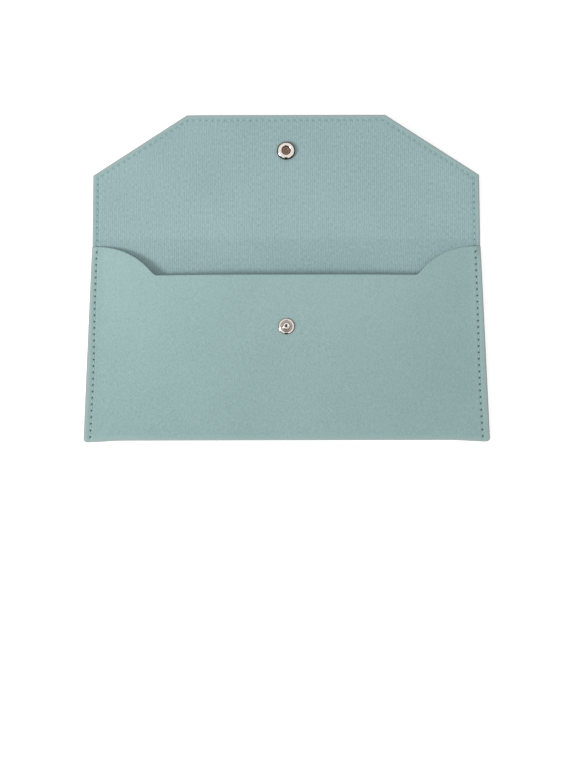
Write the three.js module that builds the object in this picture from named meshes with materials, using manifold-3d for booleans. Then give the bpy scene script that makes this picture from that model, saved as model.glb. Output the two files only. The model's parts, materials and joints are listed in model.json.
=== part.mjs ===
// Envelope wallet for banknotes: a sewn leather pocket with a lined flap and a ring spring snap.
// Millimetres, +X along the width, +Y from the bottom edge to the flap's tip, +Z up.
// The wallet lies open on its back. Its origin is under the middle of the open wallet.

import * as THREE from 'three';
import { mergeVertices } from 'three/addons/utils/BufferGeometryUtils.js';
import Module from 'manifold-3d';

const wasm = await Module();
wasm.setup();

// Sheets
const leather = 1.0;
const lining = 0.4;
const glueLine = 0.1;
const wall = leather + glueLine + lining;
const seam = 0.1;

// Pocket
const bottomWidth = 200;
const foldWidth = 193.8;
const creaseHeight = 97.5;
const pocketRoom = 4.5;
const sewnMargin = 5.2;
const sideRise = 36;
const bottomBendDepth = 2.2;
const bottomBendTop = 4.4;
const bottomRise = 20;
const riseSteps = 7;
const bendSteps = 8;
const marginTop = wall + glueLine + wall;
const panelTop = wall + pocketRoom + wall;

// Mouth of the pocket, cut down in the middle between two round shoulders
const mouthClearance = 0.4;
const shoulderStart = 94.5;
const shoulderRadius = 36.2;
const shoulderSteps = 6;
const notchDepth = 14.9;
const mouthTop = creaseHeight - mouthClearance;
const notchHalfWidth = shoulderStart - Math.sqrt(shoulderRadius ** 2 - (shoulderRadius - notchDepth) ** 2);

// Flap, with a strip between two creases that each turn half of the way
const stripLength = 6.4;
const creaseGap = 0.15;
const flapLength = 59.9;
const flapCornerWidth = 193.4;
const flapCornerReach = 29.4;
const flapTipWidth = 99.6;

// Stitches
const stitchInset = 2.6;
const stitchPitch = 3;
const threadWidth = 0.7;
const threadHeight = 0.4;
const threadDip = 0.2;
const threadSeat = 0.05;
const grooveDepth = 0.5;
const grooveWidth = threadWidth + 2 * glueLine;
const seamStart = 4;
const seamBreak = 3;

// Ring spring snap
const roundSteps = 28;
const rollSteps = 4;
const snapHeight = 56.2;
const metalGap = 0.1;
const capRadius = 5;
const capHeight = 1.9;
const capWall = 0.35;
const capRim = 0.55;
const capRoll = 0.2;
const rivetFlangeRadius = 3.5;
const rivetFlange = 0.4;
const capTubeRadius = 1.4;
const capTubeBore = 1;
const collarRadius = 2;
const collarHeight = 0.25;
const socketRadius = 4.6;
const socketHeight = 1.8;
const socketRoll = 0.5;
const socketMouth = 2.25;
const socketFloor = 0.3;
const springPocket = 0.4;
const springHeight = 0.95;
const springWire = 0.2;
const springTurn = 1.8 * Math.PI;
const springSteps = 24;
const studRadius = 4.15;
const studFlange = 0.7;
const studRidge = 0.3;
const studRidgeRadius = 3;
const studBaseRadius = 2.1;
const studNeckRadius = 1.45;
const studHeadRadius = 1.7;
const studHeadRoll = 0.4;
const studHeight = 2;
const studDimple = 0.25;
const studPinRadius = 1.15;
const studBore = 0.9;
const pinClearance = 0.15;
const snapClearance = 0.35;
const restGap = 0.05;

// Closed, the flap rests on the stacked snap. Open, it rests on the snap's cap.
const snapFromCrease = creaseHeight - snapHeight;
const snapStack = studFlange + snapClearance + socketHeight + 2 * metalGap;
const closedTilt = Math.asin((panelTop + snapStack - wall - stripLength) / snapFromCrease);
const closedTurn = Math.PI - closedTilt;
const closedCrease = creaseHeight + stripLength * Math.cos(closedTurn / 2);
const snapReach = (closedCrease - snapHeight) / Math.cos(closedTilt);
const openTilt = (metalGap + capHeight + restGap) / (snapReach + stripLength / 2);
const openCrease = creaseHeight + stripLength * Math.cos(openTilt / 2);
const openLength = openCrease + flapLength * Math.cos(openTilt) + wall * Math.sin(openTilt);

const materials = {
  leather: new THREE.MeshStandardMaterial({ color: 0x96b1b0, roughness: 0.55, metalness: 0 }),
  lining: new THREE.MeshStandardMaterial({ color: 0x98b3b4, roughness: 0.7, metalness: 0 }),
  thread: new THREE.MeshStandardMaterial({ color: 0x6f9a9a, roughness: 0.8, metalness: 0 }),
  nickel: new THREE.MeshStandardMaterial({ color: 0xcdc7be, roughness: 0.2, metalness: 1 }),
  steel: new THREE.MeshStandardMaterial({ color: 0x9b9893, roughness: 0.3, metalness: 1 }),
};

function addPiece(group, name, geometry, material) {
  const piece = new THREE.Mesh(geometry, material.clone());
  piece.name = name;
  group.add(piece);
  return piece;
}

// Cutting one solid out of another
function toSolid(geometry) {
  const bare = geometry.clone();
  bare.deleteAttribute('normal');
  bare.deleteAttribute('uv');
  const merged = mergeVertices(bare, 1e-4);
  return new wasm.Manifold(new wasm.Mesh({
    numProp: 3,
    vertProperties: merged.getAttribute('position').array,
    triVerts: Uint32Array.from(merged.index.array),
  }));
}

function cut(geometry, tools) {
  let solid = toSolid(geometry);
  for (const tool of tools) {
    solid = solid.subtract(toSolid(tool));
  }
  const mesh = solid.getMesh();
  const result = new THREE.BufferGeometry();
  result.setAttribute('position', new THREE.BufferAttribute(mesh.vertProperties, 3));
  result.setIndex(new THREE.BufferAttribute(mesh.triVerts, 1));
  return result;
}

// A closed sheet between two skins, each given as points over columns and rows
function sheetSolid(columns, rows, outerPoint, innerPoint) {
  const positions = [];
  const faces = [];
  const place = (side, column, row) => (side * columns + column) * rows + row;
  const quad = (a, b, c, d) => faces.push(a, b, c, a, c, d);
  for (const point of [outerPoint, innerPoint]) {
    for (let column = 0; column < columns; column += 1) {
      for (let row = 0; row < rows; row += 1) {
        positions.push(...point(column, row));
      }
    }
  }
  for (let column = 0; column < columns - 1; column += 1) {
    const next = column + 1;
    const last = rows - 1;
    for (let row = 0; row < last; row += 1) {
      quad(place(0, column, row), place(0, next, row), place(0, next, row + 1), place(0, column, row + 1));
      quad(place(1, column, row), place(1, column, row + 1), place(1, next, row + 1), place(1, next, row));
    }
    quad(place(0, column, 0), place(1, column, 0), place(1, next, 0), place(0, next, 0));
    quad(place(0, column, last), place(0, next, last), place(1, next, last), place(1, column, last));
  }
  for (let row = 0; row < rows - 1; row += 1) {
    const last = columns - 1;
    quad(place(0, 0, row), place(0, 0, row + 1), place(1, 0, row + 1), place(1, 0, row));
    quad(place(0, last, row), place(1, last, row), place(1, last, row + 1), place(0, last, row + 1));
  }
  const geometry = new THREE.BufferGeometry();
  geometry.setAttribute('position', new THREE.Float32BufferAttribute(positions, 3));
  geometry.setIndex(faces);
  return geometry;
}

// A flat sheet cut to an outline, from one height to another
function flatSheet(outline, low, high) {
  const geometry = new THREE.ExtrudeGeometry(new THREE.Shape(outline), { depth: high - low, bevelEnabled: false });
  geometry.translate(0, 0, low);
  return geometry;
}

function hole(radius, x, y, low, high) {
  const geometry = new THREE.CylinderGeometry(radius, radius, high - low, roundSteps);
  geometry.rotateX(Math.PI / 2);
  geometry.translate(x, y, (low + high) / 2);
  return geometry;
}

// Shape of the pocket: columns are places across the width at the crease
function widthShare(y) {
  return THREE.MathUtils.lerp(bottomWidth, foldWidth, y / creaseHeight) / foldWidth;
}

function mouthEdge(column) {
  const across = Math.abs(column);
  if (across <= notchHalfWidth) return mouthTop - notchDepth;
  if (across >= shoulderStart) return mouthTop;
  return mouthTop - shoulderRadius + Math.sqrt(shoulderRadius ** 2 - (shoulderStart - across) ** 2);
}

function sideLift(column) {
  const fromMargin = foldWidth / 2 - sewnMargin - Math.abs(column);
  return THREE.MathUtils.smoothstep(fromMargin, 0, sideRise);
}

function frontTop(column, y) {
  const bendShare = (bottomBendTop - marginTop) / (panelTop - marginTop);
  const bottomLift = THREE.MathUtils.smoothstep(y, bottomBendDepth, bottomBendDepth + bottomRise);
  const share = sideLift(column) * THREE.MathUtils.lerp(bendShare, 1, bottomLift);
  return THREE.MathUtils.lerp(marginTop, panelTop, share);
}

function pocketColumns() {
  const half = [foldWidth / 2, shoulderStart, notchHalfWidth];
  for (let step = 0; step <= riseSteps; step += 1) {
    half.push(foldWidth / 2 - sewnMargin - (sideRise * step) / riseSteps);
  }
  const shoulderSweep = Math.acos(1 - notchDepth / shoulderRadius);
  for (let step = 1; step < shoulderSteps; step += 1) {
    half.push(shoulderStart - shoulderRadius * Math.sin((shoulderSweep * step) / shoulderSteps));
  }
  half.sort((a, b) => a - b);
  return [...half.map((column) => -column).reverse(), ...half];
}

// A sheet of the front, from the bottom bend up to the mouth, with its upper skin at a given depth
function frontSheet(depth, thickness, firstRow) {
  const columns = pocketColumns();
  const rowHeight = (column, row) => {
    if (row > riseSteps) return mouthEdge(column);
    return firstRow + ((bottomBendDepth + bottomRise - firstRow) * row) / riseSteps;
  };
  const skin = (below) => (index, row) => {
    const column = columns[index];
    const y = rowHeight(column, row);
    return [column * widthShare(y), y, frontTop(column, y) - below];
  };
  return sheetSolid(columns.length, riseSteps + 2, skin(depth), skin(depth + thickness));
}

// The leather's bend round the bottom edge, from the back up to the front
function bottomBend() {
  const columns = pocketColumns();
  const skin = (thickness) => (index, row) => {
    const column = columns[index];
    const half = frontTop(column, 0) / 2;
    const turn = (Math.PI * row) / bendSteps;
    const y = bottomBendDepth - (bottomBendDepth - thickness) * Math.sin(turn);
    return [column * widthShare(0), y, half - (half - thickness) * Math.cos(turn)];
  };
  return sheetSolid(columns.length, bendSteps + 1, skin(0), skin(leather));
}

function pocketOutline(low, high) {
  const lowHalf = (foldWidth / 2) * widthShare(low);
  const highHalf = (foldWidth / 2) * widthShare(high);
  return [
    new THREE.Vector2(-lowHalf, low),
    new THREE.Vector2(lowHalf, low),
    new THREE.Vector2(highHalf, high),
    new THREE.Vector2(-highHalf, high),
  ];
}

// Thread: a bar along a line of points, drawn down at each needle hole
function threadBar(points, width, topAt, bottomAt) {
  const skin = (heightAt) => (side, row) => {
    const before = points[Math.max(row - 1, 0)];
    const after = points[Math.min(row + 1, points.length - 1)];
    const along = after.clone().sub(before).normalize();
    const offset = (side - 0.5) * width;
    return [points[row].x + along.y * offset, points[row].y - along.x * offset, heightAt(row)];
  };
  return sheetSolid(2, points.length, skin(topAt), skin(bottomAt));
}

function stitchStations(corners) {
  const stations = [corners[0].clone()];
  for (let side = 1; side < corners.length; side += 1) {
    const from = corners[side - 1];
    const to = corners[side];
    const halfStitches = 2 * Math.round(from.distanceTo(to) / stitchPitch);
    for (let step = 1; step <= halfStitches; step += 1) {
      stations.push(from.clone().lerp(to, step / halfStitches));
    }
  }
  return stations;
}

function topThread(corners, surface) {
  const topAt = (row) => surface + threadSeat + (row % 2 ? threadHeight : threadHeight - threadDip);
  return threadBar(stitchStations(corners), threadWidth, topAt, () => surface + threadSeat);
}

function underThread(corners, surface) {
  return threadBar(corners, threadWidth, () => surface + threadHeight, () => surface + threadSeat);
}

function threadGroove(corners, surface) {
  const reach = corners.map((corner) => corner.clone());
  const first = reach[0];
  const last = reach[reach.length - 1];
  first.sub(reach[1].clone().sub(first).setLength(glueLine));
  last.add(last.clone().sub(reach[reach.length - 2]).setLength(glueLine));
  return threadBar(reach, grooveWidth, () => surface + grooveDepth, () => surface - grooveDepth);
}

function sideSeam(side) {
  const place = (y) => new THREE.Vector2(side * ((foldWidth / 2) * widthShare(y) - stitchInset), y);
  return [place(seamStart), place(mouthTop - seamBreak)];
}

// Flap outline: +Y runs from the last crease to the tip
function flapOutline(inset, start) {
  const cornerHalf = flapCornerWidth / 2;
  const tipHalf = flapTipWidth / 2;
  const slant = Math.atan2(flapLength - flapCornerReach, cornerHalf - tipHalf);
  const cornerShift = inset * Math.tan(Math.PI / 4 - slant / 2);
  const tipShift = inset * Math.tan(slant / 2);
  const right = [
    new THREE.Vector2(foldWidth / 2 - inset, start),
    new THREE.Vector2(cornerHalf - inset, flapCornerReach - cornerShift),
    new THREE.Vector2(tipHalf - tipShift, flapLength - inset),
  ];
  const left = right.map((corner) => new THREE.Vector2(-corner.x, corner.y)).reverse();
  return [...right, ...left];
}

// Turned metal pieces: profiles are [radius, height] pairs
function turned(profile) {
  const points = profile.map(([radius, height]) => new THREE.Vector2(radius, height));
  const geometry = new THREE.LatheGeometry(points, roundSteps);
  geometry.rotateX(Math.PI / 2);
  return geometry;
}

function rolledEdge(radius, height, rollAcross, rollUp, fromDegrees, toDegrees) {
  const points = [];
  for (let step = 0; step <= rollSteps; step += 1) {
    const angle = THREE.MathUtils.degToRad(THREE.MathUtils.lerp(fromDegrees, toDegrees, step / rollSteps));
    points.push([radius + rollAcross * Math.cos(angle), height + rollUp * Math.sin(angle)]);
  }
  return points;
}

function snapCap() {
  const innerRadius = capRadius - capWall;
  const innerDome = rolledEdge(0, capRim, innerRadius, capHeight - capWall - capRim, 90, 0);
  const outerDome = rolledEdge(0, capRim, capRadius, capHeight - capRim, 0, 90);
  return turned([
    ...innerDome,
    [innerRadius, 0],
    [capRadius - capRoll, 0],
    [capRadius, capRoll],
    ...outerDome,
  ]);
}

// The tube that carries the cap through the flap and clamps the socket with its curled collar
function capRivet() {
  const flangeTop = -wall - metalGap;
  const collarLow = metalGap + socketFloor + metalGap;
  const collarHigh = collarLow + collarHeight;
  return turned([
    [0, flangeTop - rivetFlange],
    [rivetFlangeRadius, flangeTop - rivetFlange],
    [rivetFlangeRadius, flangeTop],
    [capTubeRadius, flangeTop],
    [capTubeRadius, collarLow],
    [collarRadius, collarLow],
    [collarRadius, (collarLow + collarHigh) / 2],
    [(collarRadius + capTubeRadius) / 2, collarHigh],
    [capTubeBore, collarHigh],
    [capTubeBore, flangeTop],
    [0, flangeTop],
  ]);
}

function snapSocket() {
  const tubeHole = capTubeRadius + metalGap;
  const springRoom = socketMouth + springPocket;
  const neck = springRoom + capWall;
  const beadRoll = (neck - socketMouth) / 2;
  const beadHeight = socketHeight - beadRoll;
  const rimCentre = socketRadius - socketRoll;
  const springLow = springHeight - springWire - metalGap;
  const springHigh = springHeight + springWire + metalGap;
  return turned([
    [tubeHole, 0],
    ...rolledEdge(rimCentre, socketRoll, socketRoll, socketRoll, -90, 180),
    [neck, socketRoll],
    ...rolledEdge(socketMouth + beadRoll, beadHeight, beadRoll, beadRoll, 0, 180),
    [socketMouth, springHigh],
    [springRoom, springHigh],
    [springRoom, springLow],
    [socketMouth, springLow],
    [socketMouth, socketFloor],
    [tubeHole, socketFloor],
    [tubeHole, 0],
  ]);
}

// The split ring in the socket, which grips the stud's neck
function socketSpring() {
  const ringRadius = socketMouth + springPocket - metalGap - springWire;
  const ring = [];
  for (let step = 0; step <= springSteps; step += 1) {
    const angle = (springTurn * step) / springSteps;
    ring.push(new THREE.Vector3(ringRadius * Math.cos(angle), ringRadius * Math.sin(angle), 0));
  }
  const wireSides = 6;
  const wire = new THREE.EllipseCurve(0, 0, springWire, springWire).getPoints(wireSides).slice(0, wireSides);
  return new THREE.ExtrudeGeometry(new THREE.Shape(wire), {
    steps: springSteps,
    extrudePath: new THREE.CatmullRomCurve3(ring),
  });
}

function snapStud() {
  const pinHole = studPinRadius + pinClearance;
  const plate = studFlange - studRidge;
  const headCentre = studHeadRadius - studHeadRoll;
  const headHeight = studHeight - studHeadRoll;
  return turned([
    [0, studBore],
    [pinHole, studBore],
    [pinHole, 0],
    ...rolledEdge(studRadius - plate / 2, plate / 2, plate / 2, plate / 2, -90, 90),
    ...rolledEdge(studRidgeRadius, plate, studRidge, studRidge, 0, 180),
    [studBaseRadius, plate],
    [studBaseRadius, studFlange],
    [studNeckRadius, studBore + metalGap],
    ...rolledEdge(headCentre, headHeight, studHeadRoll, studHeadRoll, -60, 90),
    [headCentre / 2, studHeight - studDimple / 2],
    [0, studHeight - studDimple],
  ]);
}

// The headed pin that carries the stud: its head lies in the front's lining
function studRivet() {
  const headTop = -leather - metalGap;
  const pinTop = studBore;
  return turned([
    [0, headTop - rivetFlange],
    [rivetFlangeRadius, headTop - rivetFlange],
    [rivetFlangeRadius, headTop],
    [studPinRadius, headTop],
    [studPinRadius, pinTop],
    [0, pinTop],
  ]);
}

function buildPocket() {
  const pocket = new THREE.Group();
  const seams = { left: sideSeam(-1), right: sideSeam(1) };
  const sheetStart = bottomBendDepth + seam;
  const backOutline = pocketOutline(sheetStart, creaseHeight - creaseGap);
  const backGrooves = Object.values(seams).map((corners) => threadGroove(corners, 0));
  addPiece(pocket, 'back_panel', cut(flatSheet(backOutline, 0, leather), backGrooves), materials.leather);
  addPiece(pocket, 'back_lining', flatSheet(backOutline, leather + glueLine, wall), materials.lining);
  addPiece(pocket, 'bottom_fold', bottomBend(), materials.leather);

  const pinHole = hole(studPinRadius + pinClearance, 0, snapHeight, 0, 2 * panelTop);
  const headHole = hole(rivetFlangeRadius + pinClearance, 0, snapHeight, 0, 2 * panelTop);
  const front = cut(frontSheet(0, leather, sheetStart), [pinHole]);
  const frontLining = cut(frontSheet(leather + glueLine, lining, sheetStart), [headHole]);
  addPiece(pocket, 'front_panel', front, materials.leather);
  addPiece(pocket, 'front_lining', frontLining, materials.lining);

  for (const [side, corners] of Object.entries(seams)) {
    addPiece(pocket, `side_thread_${side}`, topThread(corners, marginTop), materials.thread);
    addPiece(pocket, `back_thread_${side}`, underThread(corners, 0), materials.thread);
  }

  const stud = addPiece(pocket, 'snap_stud', snapStud(), materials.nickel);
  stud.position.set(0, snapHeight, panelTop + metalGap);
  const rivet = addPiece(pocket, 'stud_rivet', studRivet(), materials.nickel);
  rivet.position.set(0, snapHeight, panelTop);
  return pocket;
}

function buildFlap() {
  const flap = new THREE.Group();
  const outline = flapOutline(0, creaseGap);
  const stitches = flapOutline(stitchInset, seamBreak);
  const tubeHole = hole(capTubeRadius + metalGap, 0, snapReach, -2 * wall, wall);
  const outerSheet = flatSheet(outline, -wall, -wall + leather);
  const innerSheet = flatSheet(outline, -lining, 0);
  addPiece(flap, 'flap_panel', cut(outerSheet, [tubeHole, threadGroove(stitches, -wall)]), materials.leather);
  addPiece(flap, 'flap_lining', cut(innerSheet, [tubeHole]), materials.lining);
  addPiece(flap, 'flap_thread', topThread(stitches, 0), materials.thread);
  addPiece(flap, 'flap_bobbin_thread', underThread(stitches, -wall), materials.thread);

  const cap = addPiece(flap, 'snap_cap', snapCap(), materials.nickel);
  cap.position.set(0, snapReach, -wall - metalGap);
  cap.rotation.x = Math.PI;
  const rivet = addPiece(flap, 'cap_rivet', capRivet(), materials.nickel);
  rivet.position.set(0, snapReach, 0);
  const socket = addPiece(flap, 'snap_socket', snapSocket(), materials.nickel);
  socket.position.set(0, snapReach, metalGap);
  const spring = addPiece(flap, 'socket_spring', socketSpring(), materials.steel);
  spring.position.set(0, snapReach, metalGap + springHeight);
  return flap;
}

function foldStrip() {
  const strip = new THREE.BoxGeometry(foldWidth, stripLength - 2 * creaseGap, wall);
  strip.translate(0, stripLength / 2, -wall / 2);
  return strip;
}

function creaseGroup(y, z) {
  const crease = new THREE.Group();
  crease.position.set(0, y, z);
  crease.rotation.x = openTilt / 2;
  return crease;
}

const wallet = new THREE.Group();
wallet.position.y = -openLength / 2;
const pocketCrease = creaseGroup(creaseHeight, wall);
const flapCrease = creaseGroup(stripLength, 0);
addPiece(pocketCrease, 'fold_strip', foldStrip(), materials.leather);
flapCrease.add(buildFlap());
pocketCrease.add(flapCrease);
wallet.add(buildPocket(), pocketCrease);

export default wallet;
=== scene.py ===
import json
import math

import bpy
import numpy as np
from mathutils import Matrix, Vector


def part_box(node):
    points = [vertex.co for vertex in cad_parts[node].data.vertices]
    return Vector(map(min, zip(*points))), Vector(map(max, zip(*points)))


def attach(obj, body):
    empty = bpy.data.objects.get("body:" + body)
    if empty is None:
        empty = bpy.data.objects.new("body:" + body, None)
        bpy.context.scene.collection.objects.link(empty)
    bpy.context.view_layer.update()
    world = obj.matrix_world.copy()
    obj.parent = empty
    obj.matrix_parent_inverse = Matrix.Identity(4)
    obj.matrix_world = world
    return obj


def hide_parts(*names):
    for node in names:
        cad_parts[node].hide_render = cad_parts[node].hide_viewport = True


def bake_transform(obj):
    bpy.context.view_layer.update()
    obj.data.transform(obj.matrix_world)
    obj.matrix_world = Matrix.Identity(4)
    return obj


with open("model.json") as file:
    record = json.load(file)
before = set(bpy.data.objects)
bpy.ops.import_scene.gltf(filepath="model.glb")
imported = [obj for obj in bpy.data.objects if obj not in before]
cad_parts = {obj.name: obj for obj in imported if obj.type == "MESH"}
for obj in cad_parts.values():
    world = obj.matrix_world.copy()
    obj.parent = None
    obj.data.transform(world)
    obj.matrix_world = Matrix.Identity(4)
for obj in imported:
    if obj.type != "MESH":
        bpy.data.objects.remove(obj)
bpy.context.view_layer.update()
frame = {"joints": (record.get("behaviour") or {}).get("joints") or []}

# All sizes are in millimetres until a piece is placed
MM = 0.001

# Sheets
LEATHER = 1.0
LINING = 0.5
WALL = LEATHER + LINING
SHEET_ANGLE = 40
EDGE_ROUNDING = 0.42
LINING_ROUNDING = 0.8
CUT_EDGE = 0.45
WORN_EDGE = (0.5, 1.8)
PRESSED_BAND = 2.1
PRESSED_REACH = 0.9
SKIVED_RIM = (0.8, 2.2)
SKIVED_LENGTH = 9.0
SKIVED_DEPTH = 0.6

# Pocket, measured up from its bottom edge
BOTTOM_HALF = 100.0
FOLD_HALF = 96.9
CREASE = 97.5
BEND_DEPTH = 2.2
BEND_TOP = 4.4
BEND_STEPS = 12
BOTTOM_CORNER = 1.4
BOTTOM_RISE = 40.0
MARGIN_TOP = 3.1
PANEL_TOP = 7.5
SEWN_MARGIN = 5.2
SIDE_RISE = 70.0
SIDE_COLUMNS = 13
MIDDLE_COLUMNS = (0.0, 1.5, 3.0, 4.5, 6.0, 8.0, 12.0, 18.0, 25.0, 33.0, 41.0, 50.0, 57.0)
COLUMN_GAP = 0.25
SHEET_START = 2.3
LINING_ROWS = 26
MOUTH_LINING_ROWS = 12
BACK_LINING_ROWS = 30

# The bottom edge bows up between its corners
CORNER_DROP = 0.45
MIDDLE_LIFT = 0.35
BOW_START = 80.0
BOW_HEIGHT = 16.0

# Mouth
MOUTH_TOP = 97.1
NOTCH_DEPTH = 14.9
SHOULDER_START = 94.5
SHOULDER_RADIUS = 36.2
NOTCH_FILLET = 2.4
FILLET_STEPS = (1.5, 0.9, 0.4, 0.0, -0.4, -0.9, -1.5, -2.2)
SHOULDER_STEPS = 14
STRAIGHT_ROWS_END = 70.0
SQUEEZED_ROWS_START = 73.0
NOTCH_HALF = SHOULDER_START - math.sqrt(SHOULDER_RADIUS**2 - (SHOULDER_RADIUS - NOTCH_DEPTH) ** 2)

# Flap, measured from the flap's crease to its tip
FLAP_LENGTH = 59.9
FLAP_CORNER_HALF = 96.7
FLAP_CORNER_REACH = 29.4
FLAP_TIP_HALF = 49.8
ROW_GAP = 0.05
SHARE_GAP = 1e-4
SAME_PLACE = 1e-6

# Slack of the sheets between their edges and the snap
SNAP_HOLD = 14.0
FRONT_WAVE = 0.1
FRONT_SINK = 0.12
FRONT_WAVE_LENGTHS = (24.0, 15.0)
FRONT_WAVE_START = 0.8
FLAP_WAVE = 0.12
FLAP_WAVE_LENGTHS = (21.0, 14.0)
FLAP_WAVE_STARTS = (0.5, 0.4)
FLAP_SLACK_RIM = (4.0, 22.0)

# Seam
PITCH = 3.16
SEAM_INSET = 2.6
SEAM_HEIGHTS = (0.0, 14.0, 25.0, 40.0, 54.0, 68.0, 82.0, 97.5)
SEAM_INSETS = (3.3, 3.45, 3.6, 3.5, 3.1, 2.85, 2.7, 2.6)
FOLLOW_SEAM = 0.7
FOLLOW_FADE = 1.8
LOWEST_HOLE = 2.6
HOLE_REACH = 0.6
HOLE_DEPTH = 0.42
LINING_HOLE_DEPTH = 0.28
# How strong the painted hole shade stays on the lining's slanting edges and tip
FAINT_HOLE_SHADE = 0.4
GROOVE_FLOOR = 0.25
GROOVE_REACH = 0.75
SHALLOW_GROOVE = 0.1
DEEP_GROOVE = 0.3
ROW_STEPS = (0.0, 0.14, 0.375, 0.625, 0.86)
EDGE_STEPS = (0.0, 0.07, 0.2, 0.42)
MOUTH_STEPS = (1.9, 1.2, *EDGE_STEPS[::-1])
COLUMN_STEPS = (*EDGE_STEPS, 1.2, 1.9, 2.35, 2.6, 2.85, 3.3, 4.2)
THREAD_HALF_WIDTH = 0.3
THREAD_HALF_HEIGHT = 0.19
THREAD_REACH = 0.37
THREAD_DIVE = 0.28
TOP_STITCH_END = 0.5

# Heights of the two threads over the lining
HIGH_THREAD = -0.1
LOW_THREAD = 0.24 - WALL

# Snap
SNAP_HEIGHT = 56.2
METAL_GAP = 0.1
SPIN_STEPS = 64
METAL_ANGLE = 50
DOT = 0.01
WELD = 0.001
SPRING_HEIGHT = 0.95
SPRING_RADIUS = 2.3
SPRING_WIRE_RADIUS = 0.2
SPRING_SHARE = 0.9
HEAD_RADIUS = 3.4
HEAD_RIM = 0.1
HEAD_THICKNESS = 0.4
# Painted shade on the metal: foot heights set how far up the painted contact shade reaches, and the sky
# angles set how dark the painted shade in hollows is
CAP_FOOT = 0.4
RIVET_FOOT = 0.1
SOCKET_FOOT = 1.35
STUD_FOOT = 0.5
FOOT_FADE = 0.7
NEAREST_RIM = 0.15
OPEN_SKY = 26.0
HIDDEN_SKY = 58.0

# Tones, as a screen shows them from 0 to 255
LEATHER_TONES = ((133, 161, 160), (163, 192, 191))
# Hole tones are painted shade inside the needle holes
LEATHER_HOLE_SHADE = (30, 62, 66)
LINING_TONES = ((125, 152, 155), (171, 198, 200))
LINING_HOLE_SHADE = (106, 146, 148)
BAND_TONE = (149, 181, 178)
RIM_TONE = (164, 180, 178)
EDGE_TONES = ((142, 153, 151), (170, 177, 174))
THREAD_TONES = ((138, 170, 168), (174, 200, 196))
# The second metal tone is painted shade for recesses and feet, which handling marks also reach
NICKEL_AND_SHADE_TONES = ((232, 224, 216), (72, 54, 46))
# The rivet tube's darker brown tone is painted shade for the socket's bore, and its second tone is painted
# recess shade
RIVET_AND_SHADE_TONES = ((136, 112, 100), (30, 22, 20))
STEEL_TONES = ((170, 152, 140), (50, 40, 36))

# Finishes
LEATHER_ROUGHNESS = 0.5
LINING_ROUGHNESS = 0.62
NICKEL_ROUGHNESS = 0.1
RIVET_ROUGHNESS = 0.22
STEEL_ROUGHNESS = 0.18
SHEEN = 0.35
BAND_STRENGTH = 0.5
RIM_STRENGTH = 0.8
HOLE_SHADE_STRENGTH = 1.7

# Patterns
DYE_PATCH = 35.0
DYE_SWING = 0.3
PEBBLE = 0.6
PEBBLE_SHAPE = (1.0, 0.6, 1.0)
EDGE_PEBBLE = 0.3
PORES_PER_PEBBLE = 1.7
RIB_SPACING = 1.0
RIB_STRENGTH = 0.17
RIB_SWAY = 5.0
SWAY_PER_RIB = 0.5
SWAY_SHAPE = (1.0, 0.12, 0.0)
SPECK_STRENGTH = 0.9
SPECKS_PER_RIB = 1.5
SPECK_SHAPE = (1.0, 0.42, 0.0)
THREAD_PATCH = 2.0
STRANDS_PER_METRE = 1400.0
SCUFF = 1.2
# Painted light palest round the fold, and painted shade on the lining inside the pocket's mouth
LIGHT_POOL_REACH = 90.0
LEATHER_LIGHT_POOL = 0.15
LINING_LIGHT_POOL = 0.04
MOUTH_SHADE = (-0.07, 0.03)
MOUTH_SHADE_ENDS = (2.0, 5.5)

# Stage, in metres
FLOOR_SIZE = 4.0
FLOOR_GREY = 0.75
FLOOR_GLOW = 0.6
SKY_STRENGTH = 0.604
LAMP_PLACE = (-1.3, -0.42, 0.9)
LAMP_SIZE = 0.4
LAMP_POWER = 17.9
CARDS = 8
FRONT_CARDS = (0, 1, 7)
CARD_DISTANCE = 0.6
CARD_WIDTH = 0.5
FRONT_CARD = 0.36
LOW_CARD = 0.24
TALL_CARD = (0.5, 0.0, 0.3, 0.75)

# Camera, with its distance in metres, its angles in degrees and the rest in millimetres
CAMERA_DISTANCE = 0.65
CAMERA_TILT = 5.4
CAMERA_ROLL = -0.13
LENS = 61.75
SENSOR = 36.0
AIM_SIDEWAYS = 0.7
AIM_HEIGHT = 28.15
AIM_LIFT = 3.0

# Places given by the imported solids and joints
creases = {joint["name"]: Vector(joint["pos_m"]) / MM for joint in frame["joints"]}
body_crease = creases["body_crease"]
flap_crease = creases["flap_crease"]
strip_line = flap_crease - body_crease
strip_length = strip_line.length
half_tilt = math.atan2(strip_line.z, strip_line.y)
bottom_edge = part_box("bottom_fold")[0].y / MM
fold_reach = strip_length / 2
fold_start = CREASE - fold_reach
fold_middle = CREASE + fold_reach
flap_frame = Matrix.Translation(flap_crease) @ Matrix.Rotation(2 * half_tilt, 4, "X")
socket_low, socket_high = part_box("snap_socket")
snap_reach = (flap_frame.inverted() @ ((socket_low + socket_high) / 2 / MM)).y


def smoothstep(value, low, high):
    share = np.clip((value - low) / (high - low), 0.0, 1.0)
    return share * share * (3.0 - 2.0 * share)


def mix(low, high, share):
    return low + (high - low) * share


# Making and finishing pieces


def add_grid(name, points):
    """A grid primitive whose points are laid out as given, row by row."""
    rows, columns = points.shape[:2]
    bpy.ops.mesh.primitive_grid_add(x_subdivisions=columns - 1, y_subdivisions=rows - 1, size=1)
    piece = named(bpy.context.object, name)
    set_points(piece, points)
    return piece


def named(piece, name):
    piece.name = name
    piece.data.name = name
    return piece


def only_select(piece):
    bpy.ops.object.select_all(action="DESELECT")
    piece.select_set(True)
    bpy.context.view_layer.objects.active = piece


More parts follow.
